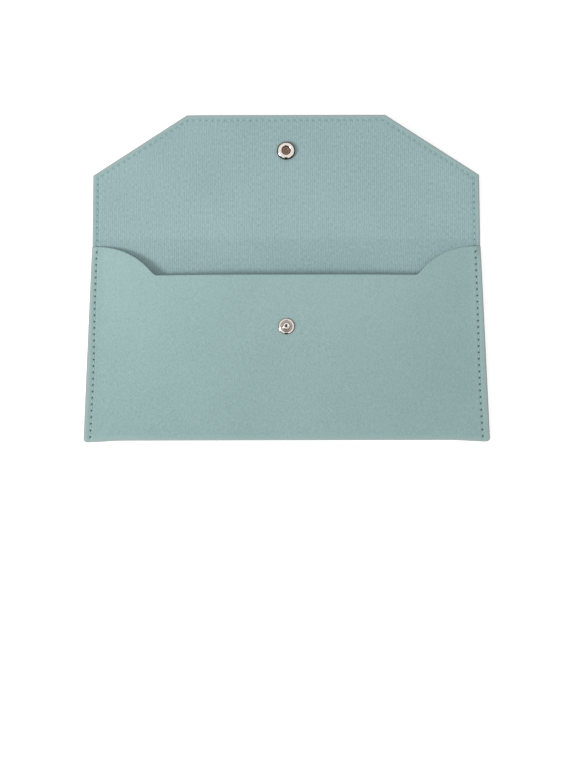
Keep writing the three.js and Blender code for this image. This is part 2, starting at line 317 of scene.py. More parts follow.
def thicken(piece, thickness):
    """Gives a sheet its thickness below its skin. The rim takes the second material."""
    wall = piece.modifiers.new("thickness", "SOLIDIFY")
    wall.thickness = thickness * MM
    wall.offset = -1.0
    wall.use_even_offset = True
    wall.use_quality_normals = True
    wall.material_offset_rim = 1
    only_select(piece)
    bpy.ops.object.modifier_apply(modifier=wall.name)


def edge_drop(inset):
    """How far the skin turns down towards a cut edge."""
    from_top = np.clip(EDGE_ROUNDING - inset, 0.0, EDGE_ROUNDING)
    return EDGE_ROUNDING - np.sqrt(EDGE_ROUNDING**2 - from_top**2)


def bare_cut_edge(piece, insets):
    """The second material also covers the skin right beside a cut edge."""
    on_edge = np.zeros(len(piece.data.vertices), bool)
    on_edge[: insets.size] = insets.ravel() < CUT_EDGE
    for polygon in piece.data.polygons:
        if all(on_edge[corner] for corner in polygon.vertices):
            polygon.material_index = 1


def smooth(piece, degrees=SHEET_ANGLE):
    only_select(piece)
    bpy.ops.object.shade_smooth_by_angle(angle=math.radians(degrees))


def set_points(piece, points):
    piece.data.vertices.foreach_set("co", (points * MM).astype(np.float32).ravel())
    piece.data.update()


def points_in_metres(piece):
    points = np.zeros(len(piece.data.vertices) * 3, np.float32)
    piece.data.vertices.foreach_get("co", points)
    return points


def get_points(piece):
    return points_in_metres(piece).reshape(-1, 3).astype(float) / MM


def store_value(piece, name, values):
    """Stores a value for each of a piece's first points, and zero for the others."""
    stored = np.zeros(len(piece.data.vertices), np.float32)
    stored[: values.size] = values.ravel()
    attribute = piece.data.attributes.new(name, "FLOAT", "POINT")
    attribute.data.foreach_set("value", stored)


def mark_edges(piece, insets):
    """Marks the pale worn rim along the edges, and the pressed band between the rim and the seam."""
    from_band = np.abs(insets - PRESSED_BAND)
    store_value(piece, "worn_rim", 1.0 - smoothstep(insets, *WORN_EDGE))
    store_value(piece, "pressed_band", 1.0 - smoothstep(from_band, 0.0, PRESSED_REACH))


def store_rest_place(piece):
    """Keeps where each point lies at rest, so that a pattern stays on the leather as it bends."""
    attribute = piece.data.attributes.new("rest_place", "FLOAT_VECTOR", "POINT")
    attribute.data.foreach_set("vector", points_in_metres(piece))


def put_materials(piece, *materials):
    piece.data.materials.clear()
    for material in materials:
        piece.data.materials.append(material)


def finish_sheet(piece, materials):
    put_materials(piece, *materials)
    smooth(piece)
    store_rest_place(piece)


# Shape of the pocket: across is the place along the crease, up the height over the bottom edge


def half_width(up):
    rounding = BOTTOM_CORNER - np.sqrt(
        np.maximum(BOTTOM_CORNER**2 - np.maximum(BOTTOM_CORNER - up, 0.0) ** 2, 0.0)
    )
    return np.interp(up, (0.0, CREASE), (BOTTOM_HALF, FOLD_HALF)) - rounding


def mouth_edge(across):
    """Height of the mouth: round shoulders that run into the notch's floor with a small fillet."""
    from_start = np.clip(SHOULDER_START - np.abs(across), 0.0, SHOULDER_RADIUS)
    shoulder = MOUTH_TOP - SHOULDER_RADIUS + np.sqrt(SHOULDER_RADIUS**2 - from_start**2)
    notch_floor = MOUTH_TOP - NOTCH_DEPTH
    nearness = np.maximum(NOTCH_FILLET - np.abs(shoulder - notch_floor), 0.0) / NOTCH_FILLET
    return np.maximum(shoulder, notch_floor) + nearness**2 * NOTCH_FILLET / 4


def front_top(across, up):
    bend_share = (BEND_TOP - MARGIN_TOP) / (PANEL_TOP - MARGIN_TOP)
    bottom_lift = smoothstep(up, BEND_DEPTH, BEND_DEPTH + BOTTOM_RISE)
    from_seam = np.clip((FOLD_HALF - SEWN_MARGIN - np.abs(across)) / SIDE_RISE, 0.0, 1.0)
    side_lift = np.sin(from_seam * math.pi / 2)
    share = side_lift * mix(bend_share, 1.0, bottom_lift)
    return mix(MARGIN_TOP, PANEL_TOP, share) + share * loose_wave(across, up)


def lie(x, up, z):
    """Puts flat pocket points in place. The bottom edge bows up a little between its sewn corners."""
    bow = mix(-MIDDLE_LIFT, CORNER_DROP, smoothstep(np.abs(x), BOW_START, BOTTOM_HALF))
    fade = 1.0 - smoothstep(up, 0.0, BOW_HEIGHT)
    return np.stack([x, bottom_edge + up - bow * fade, z], axis=-1)


def loose_wave(across, up):
    """The slight looseness of leather that only its edges and the snap hold."""
    held = 1.0 - np.exp(-(across**2 + (up - SNAP_HEIGHT) ** 2) / SNAP_HOLD**2)
    length, height = FRONT_WAVE_LENGTHS
    wave = FRONT_WAVE * np.sin(across / length + FRONT_WAVE_START) * np.sin(up / height)
    return held * (wave - FRONT_SINK)


def seam_inset(up):
    """How far the hand-guided side seam runs from the edge."""
    return np.interp(up, SEAM_HEIGHTS, SEAM_INSETS)


def pocket_columns():
    """Places of the columns along the crease, closest together along the seam and round the shoulders."""
    rise = FOLD_HALF - SEWN_MARGIN - np.linspace(0.0, SIDE_RISE, SIDE_COLUMNS)
    sweep = math.acos(1.0 - NOTCH_DEPTH / SHOULDER_RADIUS)
    shoulder = SHOULDER_START - SHOULDER_RADIUS * np.sin(np.linspace(0.0, sweep, SHOULDER_STEPS))
    fillet = NOTCH_HALF + np.array(FILLET_STEPS)
    beside_seam = FOLD_HALF - np.array([*COLUMN_STEPS, SEWN_MARGIN])
    inner = apart([*rise, *shoulder, *fillet, *MIDDLE_COLUMNS], COLUMN_GAP)
    half = np.concatenate([inner[inner < beside_seam.min() - COLUMN_GAP], beside_seam[::-1]])
    return np.concatenate([-half[:0:-1], half])


def pocket_x(across, up):
    """Columns spread with the width, and those by the seam follow its inset."""
    edge_inset = FOLD_HALF - np.abs(across)
    follow = np.clip(1.0 - (np.abs(edge_inset - SEAM_INSET) - FOLLOW_SEAM) / FOLLOW_FADE, 0.0, 1.0)
    shift = follow * (seam_inset(up) - SEAM_INSET)
    return np.sign(across) * (half_width(up) * np.abs(across) / FOLD_HALF - shift)


def side_holes():
    count = round((fold_start - LOWEST_HOLE) / PITCH)
    return np.linspace(LOWEST_HOLE, fold_start, count + 1)


def front_points(across, heights):
    """Outer skin of the front, whose rows close up under the notch and follow the mouth's edge."""
    column, height = np.meshgrid(across, heights)
    mouth = mouth_edge(column)
    span = MOUTH_TOP - EDGE_ROUNDING - STRAIGHT_ROWS_END
    squeeze = (mouth - EDGE_ROUNDING - STRAIGHT_ROWS_END) / span
    lower = np.minimum(height, STRAIGHT_ROWS_END)
    upper = np.clip(height - STRAIGHT_ROWS_END, 0.0, span)
    beside_edge = np.maximum(height - MOUTH_TOP + EDGE_ROUNDING, 0.0)
    up = lower + upper * squeeze + beside_edge
    return pocket_x(column, up), up


def front_skin(across, heights):
    x, up = front_points(across, heights)
    column = np.broadcast_to(across, x.shape)
    return lie(x, up, front_top(column, up))


def blank_points():
    """Outer skin of the leather from under the fold, down the back, round the bottom and up the front."""
    across = pocket_columns()
    rows = np.array([BEND_DEPTH, *spread_rows(side_holes())])
    column, up = np.meshgrid(across, rows[::-1])
    back = lie(pocket_x(column, up), up, np.zeros_like(up))

    turns = np.linspace(0.0, math.pi, BEND_STEPS + 1)[1:-1]
    column, turn = np.meshgrid(across, turns)
    half = front_top(column, 0.0) / 2
    up = BEND_DEPTH - BEND_DEPTH * np.sin(turn)
    bend = lie(pocket_x(column, up), up, half - half * np.cos(turn))
    bend_rows = up[:, 0]

    front_rows = np.concatenate([rows, MOUTH_TOP - np.array(MOUTH_STEPS)])
    front = front_skin(across, front_rows)
    heights = np.concatenate([rows[::-1], bend_rows, front_rows])
    on_front = np.arange(len(heights)) > len(rows) + len(turns) / 2
    return np.concatenate([back, bend, front]), heights, on_front


def grid_normals(points):
    along_rows = np.gradient(points, axis=0)
    along_columns = np.gradient(points, axis=1)
    normals = np.cross(along_columns, along_rows)
    return normals / np.linalg.norm(normals, axis=-1, keepdims=True)


# Folding between the pocket and the flap


def turn_about(s, height, angle):
    return s * np.cos(angle) - height * np.sin(angle), s * np.sin(angle) + height * np.cos(angle)


def fold_points(x, along, height):
    """Lays flat leather round the two creases as it lies at rest. Height is over the lining."""
    first = along - CREASE
    second = first - strip_length
    lower = smoothstep(first, -fold_reach, fold_reach) * half_tilt
    upper = smoothstep(second, -fold_reach, fold_reach) * half_tilt
    low_y, low_z = turn_about(first, height, lower)
    high_y, high_z = turn_about(second, height, upper)
    high_y, high_z = turn_about(high_y + strip_length, high_z, half_tilt)
    past_middle = along > fold_middle
    y = np.where(past_middle, high_y, low_y) + body_crease.y
    z = np.where(past_middle, high_z, low_z) + body_crease.z
    return np.stack([x, y, z], axis=-1)


def on_flap(points):
    matrix = np.array(flap_frame)
    return points @ matrix[:3, :3].T + matrix[:3, 3]


# Seams: a pressed groove with needle holes


def seam_press(flat, inset, holes, groove):
    """How deep the seam presses each point in, and how far it lies in a needle hole."""
    from_line = np.abs(inset - SEAM_INSET)
    channel = groove * (1.0 - smoothstep(from_line, GROOVE_FLOOR, GROOVE_REACH))
    nearest = np.full(flat.shape[:-1], np.inf)
    for hole in holes:
        nearest = np.minimum(nearest, np.hypot(flat[..., 0] - hole[0], flat[..., 1] - hole[1]))
    in_hole = np.clip(1.0 - nearest / HOLE_REACH, 0.0, 1.0)
    return channel + in_hole * HOLE_DEPTH, in_hole


def side_hole_places(heights):
    share = 1.0 - SEAM_INSET / FOLD_HALF
    reach = [half_width(height) * share - (seam_inset(height) - SEAM_INSET) for height in heights]
    return [(side * x, height) for side in (-1.0, 1.0) for x, height in zip(reach, heights)]


def press_in(piece, skin, in_hole):
    """Puts the first points of a thickened sheet where the seam and the cut edges press them."""
    points = get_points(piece)
    points[: in_hole.size] = skin.reshape(-1, 3)
    set_points(piece, points)
    # Stores the mask for the needle holes' painted shade
    store_value(piece, "needle_hole_shade", in_hole)


def leather_blank(materials):
    points, heights, on_front = blank_points()
    normals = grid_normals(points)
    piece = add_grid("leather_blank", points)
    thicken(piece, LEATHER)
    across = np.broadcast_to(pocket_columns(), points.shape[:2])
    inset = FOLD_HALF - np.abs(across)
    from_mouth = np.where(on_front, MOUTH_TOP - heights, MOUTH_TOP)[:, None]
    groove = np.where(on_front, SHALLOW_GROOVE, DEEP_GROOVE)[:, None]
    flat = np.stack(np.broadcast_arrays(points[..., 0], heights[:, None]), axis=-1)
    depth, in_hole = seam_press(flat, inset, side_hole_places(side_holes()), groove)
    in_seam = heights[:, None] > LOWEST_HOLE - PITCH / 2
    to_edge = np.minimum(inset, from_mouth)
    skived = (1.0 - smoothstep(inset, *SKIVED_RIM)) * (1.0 - smoothstep(from_mouth, 0.0, SKIVED_LENGTH))
    depth = depth * in_seam + edge_drop(to_edge) + skived * SKIVED_DEPTH
    press_in(piece, points - depth[..., None] * normals, in_hole * in_seam)
    finish_sheet(piece, materials)
    bare_cut_edge(piece, inset)
    mark_edges(piece, np.minimum(inset, heights[:, None]))
    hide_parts("back_panel", "bottom_fold", "front_panel")
    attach(piece, "pocket")


def front_lining(materials):
    lower = np.linspace(SHEET_START, STRAIGHT_ROWS_END, LINING_ROWS)
    upper = np.linspace(SQUEEZED_ROWS_START, MOUTH_TOP, MOUTH_LINING_ROWS)
    outer = front_skin(pocket_columns(), np.concatenate([lower, upper]))
    piece = add_grid("front_lining_sheet", outer - grid_normals(outer) * LEATHER)
    thicken(piece, LINING + METAL_GAP)
    finish_sheet(piece, materials)
    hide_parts("front_lining")
    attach(piece, "pocket")


def back_lining(materials):
    heights = np.linspace(SHEET_START, fold_start, BACK_LINING_ROWS)
    column, up = np.meshgrid(pocket_columns(), heights)
    piece = add_grid("back_lining_sheet", lie(pocket_x(column, up), up, np.full_like(up, WALL)))
    thicken(piece, LINING)
    finish_sheet(piece, materials)
    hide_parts("back_lining")
    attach(piece, "pocket")


def sheet_skins(lay, depth, lining_side, rounding):
    """The untouched and the pressed skin of a sheet, whose outer leather faces down."""
    if lining_side:
        return lay(0.0 * depth), lay(-np.minimum(depth, LINING_HOLE_DEPTH) - rounding * LINING_ROUNDING)
    return lay(0.0 * depth - WALL)[:, ::-1], lay(depth + rounding - WALL)[:, ::-1]


def make_sheet(name, lay, depth, in_hole, inset, lining_side, materials):
    skin, pressed = sheet_skins(lay, depth, lining_side, edge_drop(inset))
    if not lining_side:
        in_hole = in_hole[:, ::-1]
        inset = inset[:, ::-1]
    piece = add_grid(name, skin)
    thicken(piece, LINING if lining_side else LEATHER)
    press_in(piece, pressed, in_hole)
    finish_sheet(piece, materials)
    bare_cut_edge(piece, inset)
    mark_edges(piece, inset)
    return piece


def strip_start(number):
    """Where the first or the second piece of the flexible fold begins, up from the bottom edge."""
    return fold_start + (number - 1) * strip_length


def strip_holes(number):
    return strip_start(number) + np.array([0.0, 0.5, 1.0]) * strip_length


def fold_sheet(name, number, lining_side, materials):
    """A piece of the flexible fold that bends over one crease: the outer leather or the lining."""
    holes = strip_holes(number)
    column, along = np.meshgrid(pocket_columns(), spread_rows(holes))
    x = pocket_x(column, np.minimum(along, CREASE))
    inset = FOLD_HALF - np.abs(column)
    flat = np.stack([x, along], axis=-1)
    groove = SHALLOW_GROOVE if lining_side else DEEP_GROOVE
    depth, in_hole = seam_press(flat, inset, side_hole_places(holes), groove)

    def lay(height):
        return fold_points(x, along, height)

    return make_sheet(f"{name}_{number}", lay, depth, in_hole, inset, lining_side, materials)


def blend_over_crease(piece):
    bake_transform(piece)


# Flap


def flap_lines():
    """The two straight lines of the right edge, as (half width at the crease, lean)."""
    side_lean = (FLAP_CORNER_HALF - FOLD_HALF) / FLAP_CORNER_REACH
    chamfer_lean = (FLAP_TIP_HALF - FLAP_CORNER_HALF) / (FLAP_LENGTH - FLAP_CORNER_REACH)
    chamfer_foot = FLAP_CORNER_HALF - chamfer_lean * FLAP_CORNER_REACH
    return (FOLD_HALF, side_lean), (chamfer_foot, chamfer_lean)


def flap_edge(y, inset):
    edges = [foot + lean * y - inset * math.hypot(1.0, lean) for foot, lean in flap_lines()]
    return np.minimum(*edges)


def flap_inset(x, y):
    """How far a point lies inside the flap's outline."""
    insets = [(foot + lean * y - np.abs(x)) / math.hypot(1.0, lean) for foot, lean in flap_lines()]
    return np.minimum(np.minimum(*insets), FLAP_LENGTH - y)


def seam_corner(inset):
    """Where the seam turns from the side into the slanting edge."""
    (side_foot, side_lean), (foot, lean) = flap_lines()
    gap = (foot - inset * math.hypot(1.0, lean)) - (side_foot - inset * math.hypot(1.0, side_lean))
    return gap / (side_lean - lean)


def evenly(start, end):
    start, end = np.array(start), np.array(end)
    count = round(float(np.linalg.norm(end - start)) / PITCH)
    return [tuple(mix(start, end, step / count)) for step in range(count)]


def flap_holes():
    """Needle holes from the right crease round to the left one."""
    corner_y = seam_corner(SEAM_INSET)
    tip_y = FLAP_LENGTH - SEAM_INSET
    right = [(float(flap_edge(y, SEAM_INSET)), y) for y in (fold_reach, corner_y, tip_y)]
    left = [(-x, y) for x, y in right[::-1]]
    corners = right + left
    holes = []
    for start, end in zip(corners[:-1], corners[1:]):
        holes += evenly(start, end)
    return [*holes, corners[-1]]


def spread_rows(stations):
    """Rows that lie closest together at the needle holes."""
    rows = []
    for low, high in zip(stations[:-1], stations[1:]):
        rows += [mix(low, high, share) for share in ROW_STEPS]
    return [*rows, stations[-1]]


def apart(values, gap):
    kept = []
    for value in sorted(values):
        if not kept or value - kept[-1] > gap:
            kept.append(value)
    return np.array(kept)


def flap_grid():
    """Flat points of the flap: columns keep their inset along the edges, rows run straight across."""
    holes = flap_holes()
    tip_y = FLAP_LENGTH - SEAM_INSET
    rows = spread_rows(sorted({round(y, 6) for x, y in holes if x > 0}))
    above = [FLAP_LENGTH - inset for inset in COLUMN_STEPS]
    rows = apart([row for row in rows if row < tip_y - GROOVE_REACH] + above, ROW_GAP)

    inner_inset = COLUMN_STEPS[-1]
    tip_half = float(flap_edge(tip_y, inner_inset))
    on_tip = [x / tip_half for x, y in holes if abs(y - tip_y) < SAME_PLACE and abs(x) < tip_half]
    shares = apart(spread_rows(sorted([-1.0, *on_tip, 1.0])), SHARE_GAP)

    beside_edge = [flap_edge(rows, inset) for inset in COLUMN_STEPS]
    middle = [share * flap_edge(rows, inner_inset) for share in shares[1:-1]]
    x = np.stack([-column for column in beside_edge] + middle + beside_edge[::-1], axis=1)
    return x, np.broadcast_to(rows[:, None], x.shape)


def loose_flap(x, y):
    """The flap's sheets are a little slack between the snap and the edges."""
    inside = smoothstep(flap_inset(x, y), *FLAP_SLACK_RIM)
    held = 1.0 - np.exp(-(x**2 + (y - snap_reach) ** 2) / SNAP_HOLD**2)
    length, height = FLAP_WAVE_LENGTHS
    start, foot = FLAP_WAVE_STARTS
    return FLAP_WAVE * inside * held * np.sin(x / length + start) * np.sin(y / height + foot)


def flap_sheet(name, node, lining_side, materials):
    x, y = flap_grid()
    inset = flap_inset(x, y)
    groove = SHALLOW_GROOVE if lining_side else DEEP_GROOVE
    depth, in_hole = seam_press(np.stack([x, y], axis=-1), inset, flap_holes(), groove)
    if lining_side:
        in_hole = in_hole * np.where(y < seam_corner(SEAM_INSET), 1.0, FAINT_HOLE_SHADE)
    slack = loose_flap(x, y)

    def lay(height):
        return on_flap(np.stack([x, y, slack + height], axis=-1))

    piece = make_sheet(name, lay, depth, in_hole, inset, lining_side, materials)
    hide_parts(node)
    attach(piece, "flap")


# Stitches


def first_stitch():
    """One stitch along X, sized in pitches there, whose ends dive into the needle holes."""
    bpy.ops.mesh.primitive_uv_sphere_add(segments=8, ring_count=6, radius=MM)
    piece = bpy.context.object
    piece.data.transform(Matrix.Rotation(math.pi / 2, 4, "Y"))
    points = get_points(piece)
    along = np.clip(points[:, 0], -1.0, 1.0)
    round_part = np.sqrt(np.maximum(1.0 - along**2, 1e-6))
    fullness = np.sqrt(1.0 - along**4) / round_part
    points[:, 0] = along * THREAD_REACH
    points[:, 1] *= fullness * THREAD_HALF_WIDTH
    points[:, 2] = points[:, 2] * fullness * THREAD_HALF_HEIGHT - THREAD_DIVE * along**4
    set_points(piece, points)
    smooth(piece, 180)
    return piece


def sew(name, runs, lay, material):
    """Copies the first stitch between each pair of holes. A run is (start, end, height over the lining)."""
    first = first_stitch()
    stitches = []
    for start, end, height in runs:
        places = np.array([start, end, np.add(start, end) / 2])
        heights = np.full(3, height)
        low, high, middle = (Vector(place) for place in lay(places[:, 0], places[:, 1], heights))
        over = Vector(lay(places[2:, 0], places[2:, 1], heights[:1] + 1.0)[0]) - middle
        up = over if height > -WALL / 2 else -over
        way = high - low
        side = up.cross(way).normalized()
        turned = Matrix((way, side, way.cross(side).normalized())).transposed().to_4x4()
        stitch = first.copy()
        stitch.data = first.data.copy()
        stitch.data.transform(Matrix.Translation(middle * MM) @ turned)
        bpy.context.scene.collection.objects.link(stitch)
        stitches.append(stitch)
    bpy.data.objects.remove(first)
    only_select(stitches[0])
    for stitch in stitches:
        stitch.select_set(True)
    bpy.ops.object.join()
    piece = named(bpy.context.object, name)
    put_materials(piece, material)
    return piece


def side_runs(heights, thread_height):
    places = side_hole_places(heights)
    half = len(places) // 2
    runs = []
    for line in (places[:half], places[half:]):
        runs += [(start, end, thread_height) for start, end in zip(line[:-1], line[1:])]
    return runs


def front_stitches(material):
    heights = [*side_holes(), MOUTH_TOP - TOP_STITCH_END]
    piece = sew("front_stitches", side_runs(heights, MARGIN_TOP + HIGH_THREAD), lie, material)
    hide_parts("side_thread_left", "side_thread_right")
    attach(piece, "pocket")


def back_stitches(material):
    def under_back(x, y, z):
        return lie(x, y, z + WALL)

    piece = sew("back_stitches", side_runs(side_holes(), LOW_THREAD), under_back, material)
    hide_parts("back_thread_left", "back_thread_right")
    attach(piece, "pocket")


def fold_stitches(number, material):
    holes = strip_holes(number)
    inner = side_runs(holes[1:] if number == 1 else holes, HIGH_THREAD)
    outer = side_runs(holes, LOW_THREAD)
    return sew(f"fold_stitches_{number}", inner + outer, fold_points, material)


def flap_stitches(name, node, height, material):
    holes = flap_holes()
    runs = [(start, end, height) for start, end in zip(holes[:-1], holes[1:])]

    def place(x, y, z):
        return on_flap(np.stack([x, y, z], axis=-1))

    piece = sew(name, runs, place, material)
    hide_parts(node)
    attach(piece, "flap")


# Snap: the profiles are points in millimetres, as (distance from the axis, height)


def arc(centre, height, across, rise, start, end, steps=6):
    """Profile points round part of an ellipse, in degrees from the outward side."""
    turns = np.radians(np.linspace(start, end, steps + 1))
    return [(centre + across * math.cos(turn), height + rise * math.sin(turn)) for turn in turns]


def turned_piece(name, profile, foot, matrix):
    """Draws a profile by extruding one point after the other, and spins it round the axis."""
    bpy.ops.mesh.primitive_plane_add(size=DOT * MM, location=(0, 0, 0))
    piece = named(bpy.context.object, name)
    bpy.ops.object.mode_set(mode="EDIT")
    bpy.ops.mesh.select_all(action="SELECT")
    bpy.ops.mesh.merge(type="CENTER")
    bpy.ops.mesh.select_mode(type="VERT")
    bpy.ops.transform.translate(value=(profile[0][0] * MM, 0, profile[0][1] * MM))
    for before, after in zip(profile[:-1], profile[1:]):
        step = ((after[0] - before[0]) * MM, 0, (after[1] - before[1]) * MM)
        bpy.ops.mesh.extrude_region_move(TRANSFORM_OT_translate={"value": step})
    bpy.ops.mesh.select_all(action="SELECT")
    bpy.ops.mesh.spin(steps=SPIN_STEPS, angle=2 * math.pi, center=(0, 0, 0), axis=(0, 0, 1))
    bpy.ops.mesh.select_all(action="SELECT")
    bpy.ops.mesh.remove_doubles(threshold=WELD * MM)
    bpy.ops.mesh.normals_make_consistent(inside=False)
    bpy.ops.object.mode_set(mode="OBJECT")
    paint_recess_shade(piece, np.array(profile), foot)
    piece.data.transform(matrix)
    smooth(piece, METAL_ANGLE)
    return piece


def paint_recess_shade(piece, profile, foot):
    """Paints shade where the rims around a point hide it from the light, and paints contact shade and a
    dark reflection at the foot where the metal meets the leather.
    """
    points = get_points(piece)
    radius = np.hypot(points[:, 0], points[:, 1])[:, None]
    mirrored = np.concatenate([profile, profile * (-1.0, 1.0)])
    away = mirrored[None, :, 0] - radius
    rise = mirrored[None, :, 1] - points[:, 2:3]
    hidden = 0.0
    for way in (1.0, -1.0):
        slope = np.where(away * way > 0.0, rise / np.maximum(away * way, NEAREST_RIM), 0.0)
        hidden = hidden + np.degrees(np.arctan(np.maximum(slope.max(axis=1), 0.0))) / 2
    foot_shade = 1.0 - smoothstep(points[:, 2], foot * FOOT_FADE, foot)
    store_value(piece, "painted_recess_shade", np.maximum(smoothstep(hidden, OPEN_SKY, HIDDEN_SKY), foot_shade))


def snap_matrix(lift, turned_over=False):
    """Place of a piece of the flap's half of the snap, in metres."""
    lifted = Matrix.Translation(Vector((0, snap_reach, lift)) * MM)
    over = Matrix.Rotation(math.pi, 4, "X") if turned_over else Matrix.Identity(4)
    in_metres = Matrix.Translation(flap_crease * MM) @ Matrix.Rotation(2 * half_tilt, 4, "X")
    return in_metres @ lifted @ over


def rivet_head(top):
    """The flat round head of a rivet, from the axis out and over its rounded rim."""
    bottom = top - HEAD_THICKNESS
    return [
        (0.0, bottom),
        *arc(HEAD_RADIUS, bottom + HEAD_RIM, HEAD_RIM, HEAD_RIM, -90, 0, 3),
        *arc(HEAD_RADIUS, top - HEAD_RIM, HEAD_RIM, HEAD_RIM, 0, 90, 3),
    ]


def cap_profile():
    return [
        (0.0, 1.55),
        *arc(0.0, 0.55, 4.6, 1.0, 88, 4, 10),
        *((4.6, 0.12), (4.7, 0.0), (4.88, 0.02)),
        *arc(4.82, 0.24, 0.18, 0.22, -80, 20, 5),
        *arc(4.2, 0.42, 0.78, 0.62, 8, 60),
        *arc(0.0, -6.4, 8.6, 8.3, 62.5, 89, 12),
        (0.0, 1.9),
    ]


def cap_rivet_profile():
    flange_top = -WALL - METAL_GAP
    collar = 0.5
    return [
        *rivet_head(flange_top),
        (1.4, flange_top),
        (1.4, collar - 0.02),
        *arc(1.72, collar + 0.12, 0.3, 0.14, -90, 90, 8),
        *arc(1.3, collar - 0.02, 0.32, 0.28, 90, 180, 5),
        (0.95, 0.32),
        (0.0, 0.26),
    ]


def socket_profile():
    return [
        (1.5, 0.0),
        (4.15, 0.0),
        *arc(4.15, 0.42, 0.42, 0.42, -90, 10),
        *((4.52, 0.72), (4.38, 0.96), (4.15, 1.2), (3.85, 1.4), (3.5, 1.57), (3.15, 1.7)),
        *arc(2.75, 1.42, 0.5, 0.38, 60, 180, 12),
        *((2.25, 1.25), (2.65, 1.22), (2.65, 0.62), (2.25, 0.58), (2.2, 0.36)),
        *arc(2.0, 0.42, 0.12, 0.12, -30, -90, 3),
        (1.5, 0.3),
        (1.5, 0.0),
    ]


def stud_profile():
    return [
        (0.0, 0.9),
        (1.3, 0.9),
        (1.3, 0.0),
        (3.7, 0.0),
        *arc(3.75, 0.2, 0.25, 0.2, -90, 60),
        (3.7, 0.44),
        (3.5, 0.52),
        *arc(3.1, 0.46, 0.34, 0.24, 45, 150, 8),
        (2.6, 0.5),
        (2.35, 0.44),
        *arc(2.12, 0.62, 0.2, 0.2, -90, -180, 5),
        (1.78, 0.82),
        *arc(1.75, 1.05, 0.32, 0.3, -125, -180, 4),
        (1.42, 1.2),
        *arc(1.22, 1.55, 0.48, 0.45, -40, 90, 12),
        *arc(1.0, 1.7, 0.3, 0.3, 90, 170, 5),
        (0.66, 1.5),
        (0.62, 1.0),
        (0.0, 0.98),
    ]


def stud_rivet_profile():
    head_top = -LEATHER - METAL_GAP
    return [
        *rivet_head(head_top),
        (1.15, head_top),
        (1.15, 0.85),
        (1.0, 0.9),
        (0.0, 0.9),
    ]


def socket_spring(matrix):
    """The split ring of round wire in the socket."""
    bpy.ops.curve.primitive_bezier_circle_add(radius=SPRING_RADIUS * MM)
    ring = bpy.context.object
    ring.name = "spring_ring"
    ring.data.bevel_depth = SPRING_WIRE_RADIUS * MM
    ring.data.bevel_resolution = 3
    ring.data.use_fill_caps = True
    ring.data.resolution_u = 14
    ring.data.bevel_factor_end = SPRING_SHARE
    ring.data.bevel_factor_mapping_end = "SPLINE"
    bpy.ops.object.convert(target="MESH")
    piece = bpy.context.object
    piece.data.transform(matrix)
    smooth(piece, METAL_ANGLE)
    return piece


def fit_metal(piece, body, node, material):
    put_materials(piece, material)
    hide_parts(node)
    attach(piece, body)


def build_snap(nickel, rivet, steel):
    cap_place = snap_matrix(-WALL - METAL_GAP, turned_over=True)
    shell = turned_piece("cap_shell", cap_profile(), CAP_FOOT, cap_place)
    fit_metal(shell, "flap", "snap_cap", nickel)
    tube = turned_piece("cap_rivet_tube", cap_rivet_profile(), RIVET_FOOT, snap_matrix(0.0))
    fit_metal(tube, "flap", "cap_rivet", rivet)
    ring = turned_piece("socket_ring", socket_profile(), SOCKET_FOOT, snap_matrix(METAL_GAP))
    fit_metal(ring, "flap", "snap_socket", nickel)
    spring = socket_spring(snap_matrix(METAL_GAP + SPRING_HEIGHT))
    fit_metal(spring, "flap", "socket_spring", steel)

    stud_y = bottom_edge + SNAP_HEIGHT
    stud_place = Matrix.Translation(Vector((0, stud_y, PANEL_TOP + METAL_GAP)) * MM)
    post = turned_piece("stud_post", stud_profile(), STUD_FOOT, stud_place)
    fit_metal(post, "pocket", "snap_stud", nickel)
    pin_place = Matrix.Translation(Vector((0, stud_y, PANEL_TOP)) * MM)
    pin = turned_piece("stud_rivet_pin", stud_rivet_profile(), RIVET_FOOT, pin_place)
    fit_metal(pin, "pocket", "stud_rivet", nickel)


# Materials


def colour(shown):
    """Linear values of a tone that is given as a screen shows it."""
    shares = (value / 255.0 for value in shown)
    return (*(v / 12.92 if v <= 0.04045 else ((v + 0.055) / 1.055) ** 2.4 for v in shares), 1.0)


def add_node(tree, kind, values=None, **settings):
    node = tree.nodes.new(kind)
    for setting, value in settings.items():
        setattr(node, setting, value)
    set_inputs(tree, node, values or {})
    return node


def set_inputs(tree, node, values):
    for socket, value in values.items():
        if isinstance(value, bpy.types.NodeSocket):
            tree.links.new(value, node.inputs[socket])
        else:
            node.inputs[socket].default_value = value


def math_node(tree, operation, first, second=0.0):
    return add_node(tree, "ShaderNodeMath", {0: first, 1: second}, operation=operation).outputs[0]


def scaled(tree, value, strength, shift):
    """A value times its strength, plus a shift that is a number or another value."""
    return math_node(tree, "ADD", math_node(tree, "MULTIPLY", value, strength), shift)


def swing(tree, value, strength, middle=0.0):
    """Lets a value that runs about a half swing about another middle."""
    return scaled(tree, value, strength, middle - strength / 2)


def mix_colours(tree, share, first, second):
    return add_node(tree, "ShaderNodeMix", {0: share, 6: first, 7: second}, data_type="RGBA").outputs[2]


def mix_tones(tree, share, tones):
    return mix_colours(tree, share, colour(tones[0]), colour(tones[1]))


def noise(tree, place, scale, detail=1.0, roughness=0.5):
    values = {"Vector": place, "Scale": scale, "Detail": detail, "Roughness": roughness}
    return add_node(tree, "ShaderNodeTexNoise", values).outputs[0]


def stretched(tree, place, scale):
    return add_node(tree, "ShaderNodeMapping", {"Vector": place, "Scale": scale}).outputs[0]


